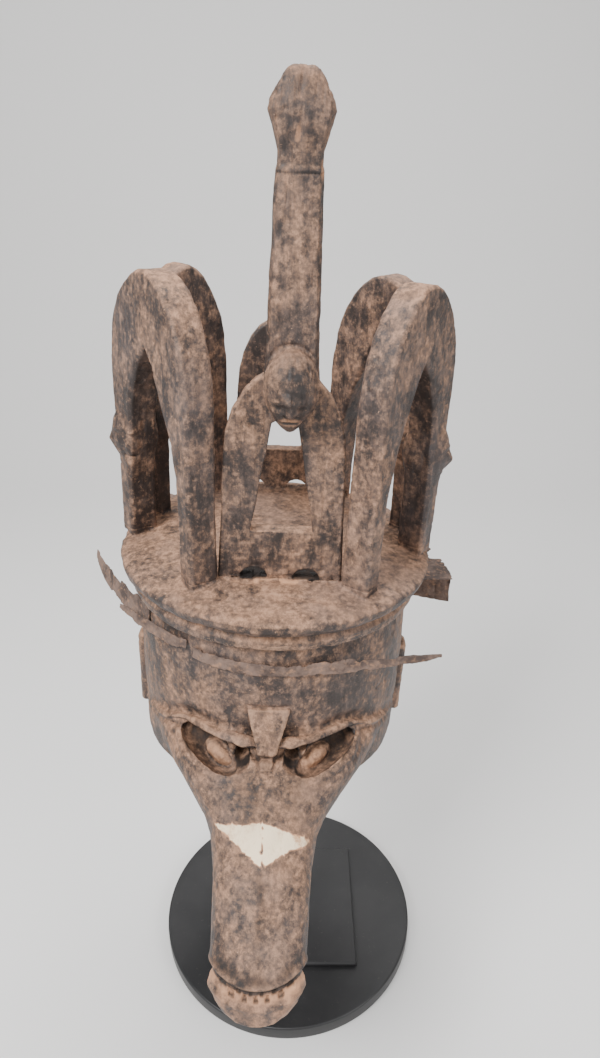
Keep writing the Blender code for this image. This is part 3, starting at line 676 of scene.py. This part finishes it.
def foot_wear(place, out):
    """Chips along the panels' feet and round the ledge's edge."""
    local = in_mask(place)
    low = bump(local[:, 2] - 0.013, 0.0035)
    near_foot = low * ease(0.012 - np.abs(np.abs(local[:, 1] + 0.081) - 0.007), 0, 0.006)
    chips = -0.0012 * near_foot * ease(grain(local, 0.008, 41), 0.0, 0.6)
    edge = ease(np.hypot(local[:, 0], local[:, 1]), 0.128, 0.142)
    return chips - 0.0008 * edge * ease(grain(local, 0.014, 42), 0.35, 0.8)


def crown_tone(local, out):
    """Dusty filler at the front panel's foot, and the painted shade inside its notches."""
    dark = np.zeros(len(local))
    for middle in NOTCHES:
        far = np.hypot(local[:, 0] - middle, np.maximum(local[:, 2] - 0.0125, 0))
        inside = (local[:, 1] > -0.0885) & (local[:, 1] < -0.050) & (local[:, 2] < 0.03)
        dark = np.maximum(dark, np.where(inside, ease(0.0128 - far, 0, 0.002), 0))
    front = bump(local[:, 1] + 0.0915, 0.0050) * ease(0.019 - local[:, 2], 0, 0.004)
    wide = ease(0.046 - np.abs(local[:, 0] - 0.006), 0, 0.01)
    lumps = grain(local, 0.012, 43) + 0.4 * grain(local, 0.004, 44)
    clay = front * wide * ease(lumps, -0.45, 0.2)
    return 0.62 * clay, dark * (1 - clay)


ledge = slab(copied("mask"), UNDER_PLATFORM, ON_PLATFORM + OVERLAP)
back_panel = only(slab(copied("mask"), ON_PLATFORM, ABOVE_ALL), at_back)
crown = made("mask_crown", joined(ledge, back_panel), wood.material)
surfaced(crown, 0.0010, 190000, foot_wear)
aged_and_shaded(crown, crown_tone)

# Arches
# Four tall arches rise from the ledge, each with a small head carved on its outer leg that
# looks outwards. Their edges are sharp where the knife left them and rubbed elsewhere.
SIDE_HEADS = [(0.129, -0.0095), (-0.119, -0.009), (0.120, 0.038), (-0.128, 0.038)]
SIDE_HEADS_UP = 0.1018
ARCHES_FROM = 0.045


def side_heads(place, out):
    """Eyes, nose and mouth of the small heads."""
    local = in_mask(place)
    height = np.zeros(len(place))
    for x, y in SIDE_HEADS:
        ahead = np.array((x, y)) / math.hypot(x, y)
        off = local[:, :2] - np.array((x, y))
        forward = off @ ahead
        aside = np.abs(off @ np.array((-ahead[1], ahead[0])))
        up = local[:, 2] - SIDE_HEADS_UP
        front = ease(forward, 0.003, 0.007) * ease(0.030 - np.abs(up), 0, 0.004)
        eye = oval(aside - 0.0070, 0.0032, up - 0.004, 0.0020)
        nose = oval(aside, 0.0026, up + 0.0035, 0.0055)
        mouth_line = oval(aside, 0.0070, up + 0.0150, 0.0012, 4)
        chin = oval(aside, 0.006, up + 0.0215, 0.0035)
        brow = oval(aside, 0.012, up - 0.0085, 0.0018, 4)
        forms = 0.0016 * nose - 0.0014 * eye - 0.0012 * mouth_line
        height += (forms + 0.0008 * chin + 0.0008 * brow) * front
    return height


arch_form = slab(copied("mask"), ON_PLATFORM, ABOVE_ALL)
arch_form = only(arch_form, lambda middle: abs(middle.x) > ARCHES_FROM)
arches = made("mask_arches", arch_form, wood.material)
surfaced(arches, 0.0010, 195000, side_heads)
aged_and_shaded(arches)

# Front panel and post
# The front panel carries a small bald head and a flat post. The post's top is cut as a snake's
# head seen from above, and a joint crosses it below the snake's neck.
SMALL_HEAD = (0.008, 0.1767)
POST_JOINT = 0.3200


def in_front(middle):
    return middle.y < -0.06 and abs(middle.x - 0.005) < 0.03


def post_work(place, out):
    """The small head's features, the joint, the snake's split and grooves, and rough grain."""
    local = in_mask(place)
    x = local[:, 0] - SMALL_HEAD[0]
    z = local[:, 2] - SMALL_HEAD[1]
    aside = np.abs(x)
    face = ease(-local[:, 1], 0.100, 0.106) * ease(0.033 - np.abs(z), 0, 0.004)
    eye = oval(aside - 0.0092, 0.0034, z + 0.0085, 0.0020)
    nose = oval(aside, 0.0030, z + 0.0130, 0.0035)
    nostril = oval(aside - 0.0045, 0.0016, z + 0.0150, 0.0014)
    mouth_line = oval(aside, 0.0065, z + 0.0205, 0.0011, 4)
    brow = oval(aside, 0.0145, z + 0.0035, 0.0018, 4)
    lump = 0.0006 * brow + 0.0016 * nose - 0.0016 * eye - 0.0010 * nostril - 0.0011 * mouth_line
    rim = np.abs(np.hypot(x / 0.0225, z / 0.0325) - 1.0)
    ring = -0.0010 * bump(rim, 0.05) * (local[:, 1] < -0.090)
    joint = -0.0010 * bump(local[:, 2] - POST_JOINT, 0.0007)
    joint *= ease(grain(local, 0.009, 51), -0.7, 0.0) * (local[:, 1] < -0.085)
    snake = ease(local[:, 2], 0.318, 0.328) * (local[:, 1] < -0.08)
    split = -0.0022 * bump(x + 0.0010 + 0.0012 * grain(local, 0.010, 52), 0.0011)
    split *= ease(grain(local, 0.012, 53), -0.3, 0.3) * ease(local[:, 2], 0.335, 0.345)
    groove = bump(x + 0.0045, 0.0008) + bump(x + 0.0075, 0.0008)
    groove = -0.0005 * groove * ease(local[:, 2], 0.316, 0.322) * ease(0.358 - local[:, 2], 0, 0.01)
    rough = -0.0006 * ease(grain(local, 0.0035, 54, (3, 1, 0.22)), 0.2, 0.8)
    return lump * face + ring + joint + (split + groove) * snake + rough


def post_tone(local, out):
    """The small head's dark features and pale jaw, filler in the snake's split, and the foot."""
    x = local[:, 0] - SMALL_HEAD[0]
    z = local[:, 2] - SMALL_HEAD[1]
    aside = np.abs(x)
    front = (local[:, 1] < -0.098) & (np.abs(z) < 0.034)
    eye = oval(aside - 0.0092, 0.0030, z + 0.0085, 0.0018)
    nostril = oval(aside - 0.0045, 0.0018, z + 0.0152, 0.0016)
    mouth_line = oval(aside, 0.0065, z + 0.0205, 0.0010, 4)
    dark = np.where(front, 0.9 * eye + 0.8 * nostril + 0.7 * mouth_line, 0)
    jaw = oval(aside, 0.011, z + 0.0195, 0.0055)
    clay = np.where(front, 0.55 * jaw * (1 - mouth_line), 0)
    line = bump(local[:, 2] - POST_JOINT, 0.0009) * (local[:, 1] < -0.085)
    dark = np.maximum(dark, 0.6 * line)
    torn = bump(x + 0.0022 + 0.0012 * grain(local, 0.010, 52), 0.0022)
    torn *= ease(grain(local, 0.009, 55), -0.1, 0.4) * ease(local[:, 2], 0.332, 0.340)
    clay = np.maximum(clay, 0.5 * torn * (local[:, 1] < -0.08))
    side = bump(x - 0.0150, 0.0020) * bump(local[:, 2] - 0.322, 0.010)
    clay = np.maximum(clay, 0.5 * side * (local[:, 1] < -0.08))
    ball = np.exp(-((x / 0.022) ** 4) - ((z / 0.031) ** 4)) * front
    dark = np.maximum(dark, 0.30 * ball * (1 - jaw))
    dark = np.maximum(dark, 0.10 + 0.12 * ease(local[:, 2], 0.315, 0.330))
    return np.maximum((clay, np.clip(dark, 0, 1)), crown_tone(local, out))


post_form = only(slab(copied("mask"), ON_PLATFORM, ABOVE_ALL), in_front)
post = made("mask_post", post_form, wood.material)
surfaced(post, 0.00080, 195000, post_work, foot_wear)
aged_and_shaded(post, post_tone)
for part in (head, crown, arches, post):
    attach(part, "root")
    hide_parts("mask")

# Torn sheet iron
# Strips of thin iron were nailed round the neck and have torn and rusted through; what is left
# stands off the wood in ragged pieces.
NECK_RADIUS = 0.15
SLICE = 0.0012
THINNEST = 0.002
STRIPS = (
    "strip_front",
    "strip_left",
    "strip_left_long",
    "strip_left_short",
    "strip_right_low",
    "brim_right",
    "brim_left",
)
rust = Finish("rusted_iron", Metallic=0.0, Specular_IOR_Level=0.35)
scale = rust.cloud(0.010, 6, 0.65)
crust = rust.cloud(0.0025, 4, 0.6, (4, 4, 1))
iron = rust.mix(scale.step(0.36, 0.64), (0.060, 0.042, 0.036), (0.19, 0.125, 0.098))
iron = rust.mix(crust.step(0.5, 0.72) * 0.7, iron, (0.34, 0.19, 0.115))
rust.feeds(
    Base_Color=iron,
    Roughness=(0.62 + 0.25 * crust).clamped(),
    Normal=rust.relief(scale * 0.6 + crust, 0.0008, 0.8),
)


def torn(piece, seed, flat):
    """Ragged edges and buckles: heights, or a flat plate's reach, are drawn in, never past them."""
    place, out = points(piece)
    local = in_mask(place)
    around = np.arctan2(local[:, 0], -local[:, 1]) * NECK_RADIUS
    reach = np.hypot(local[:, 0], local[:, 1])
    level = reach if flat else local[:, 2]
    cell = ((around - around.min()) / SLICE).astype(int)
    low = np.full(cell.max() + 1, 9.0)
    top = np.full(cell.max() + 1, -9.0)
    np.minimum.at(low, cell, level)
    np.maximum.at(top, cell, level)
    line = np.stack((around, 0 * around, 0 * around), axis=1)
    bites = ease(grain(line, 0.0085, seed), 0.1, 0.9) * 0.20
    bites += ease(grain(line, 0.0026, seed + 1), 0.1, 0.8) * 0.06
    chips = ease(grain(line, 0.0060, seed + 2), 0.2, 0.9) * (0.0 if flat else 0.14)
    tall = top[cell] - low[cell]
    share = (level - low[cell]) / np.maximum(tall, THINNEST)
    drawn = low[cell] + tall * (chips + share * (1 - chips - bites))
    drawn = np.where(tall < THINNEST, level, drawn)
    if flat:
        local[:, :2] *= (drawn / reach)[:, None]
    else:
        local[:, 2] = drawn
        buckle = 0.0011 * ease(grain(local, 0.012, seed + 3), -0.2, 0.9)
        local[:, :2] *= (1 + buckle / reach)[:, None]
    moved = in_frame(local, leaned)
    reshaped(piece, np.clip(moved, place.min(axis=0), place.max(axis=0)))


def rusted(place, out):
    """The crust's lumps."""
    return 0.00016 * grain(place, 0.0032, 71) + 0.00012 * grain(place, 0.0014, 72)


for i, name in enumerate(STRIPS):
    sheet = made("torn_" + name, copied(name), rust.material)
    surfaced(sheet, 0.00055, 60000, rusted)
    torn(sheet, 80 + 10 * i, name.startswith("brim"))
    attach(sheet, "root")
    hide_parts(name)

# Stand
# A turned disc, a square plate on it and a rod up inside the helmet, all painted satin black.
# The rod stands in the plate and carries the mask on a pad that the helmet hides.
ROUND_EDGE = 0.0022
EDGE_STEPS = 6
ROUND_STEPS = 180
black = Finish("black_stand", Metallic=0.0, Specular_IOR_Level=0.5)
wisps = black.cloud(0.03, 5, 0.6)
dusting = black.cloud(0.0018, 3, 0.6, (2, 2, 2))
paint = black.mix(wisps.step(0.4, 0.7) * 0.5, (0.012, 0.012, 0.013), (0.026, 0.025, 0.026))
paint = black.mix(dusting.step(0.64, 0.78) * 0.25, paint, (0.12, 0.11, 0.10))
black.feeds(
    Base_Color=paint,
    Roughness=(0.30 + 0.22 * wisps).clamped(),
    Normal=black.relief(dusting, 0.0002, 0.3),
)
(x0, y0, z0), (x1, y1, z1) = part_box("stand_foot")
foot_radius = (x1 - x0) / 2
profile = [(0, z0), (foot_radius - ROUND_EDGE, z0)]
for middle, first in ((z0 + ROUND_EDGE, -90), (z1 - ROUND_EDGE, 0)):
    for i in range(EDGE_STEPS + 1):
        angle = math.radians(first + 90 * i / EDGE_STEPS)
        across = foot_radius - ROUND_EDGE + ROUND_EDGE * math.cos(angle)
        profile.append((across, middle + ROUND_EDGE * math.sin(angle)))
profile += [(foot_radius - ROUND_EDGE * 2, z1), (0, z1)]
bm = bmesh.new()
corners = [bm.verts.new((across, 0, height)) for across, height in profile]
edges = [bm.edges.new(pair) for pair in zip(corners, corners[1:])]
bmesh.ops.spin(
    bm,
    geom=corners + edges,
    cent=(0, 0, 0),
    axis=(0, 0, 1),
    angle=math.tau,
    steps=ROUND_STEPS,
    use_merge=True,
)
bmesh.ops.remove_doubles(bm, verts=bm.verts, dist=1e-6)
bmesh.ops.recalc_face_normals(bm, faces=bm.faces)
foot = made("stand_disc", bm, black.material)
block = made("stand_plate", copied("stand_block"), black.material, smooth=False)
rod = made("stand_pole", copied("stand_rod"), black.material)
for part, node in ((foot, "stand_foot"), (block, "stand_block"), (rod, "stand_rod")):
    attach(part, "root")
    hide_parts(node)
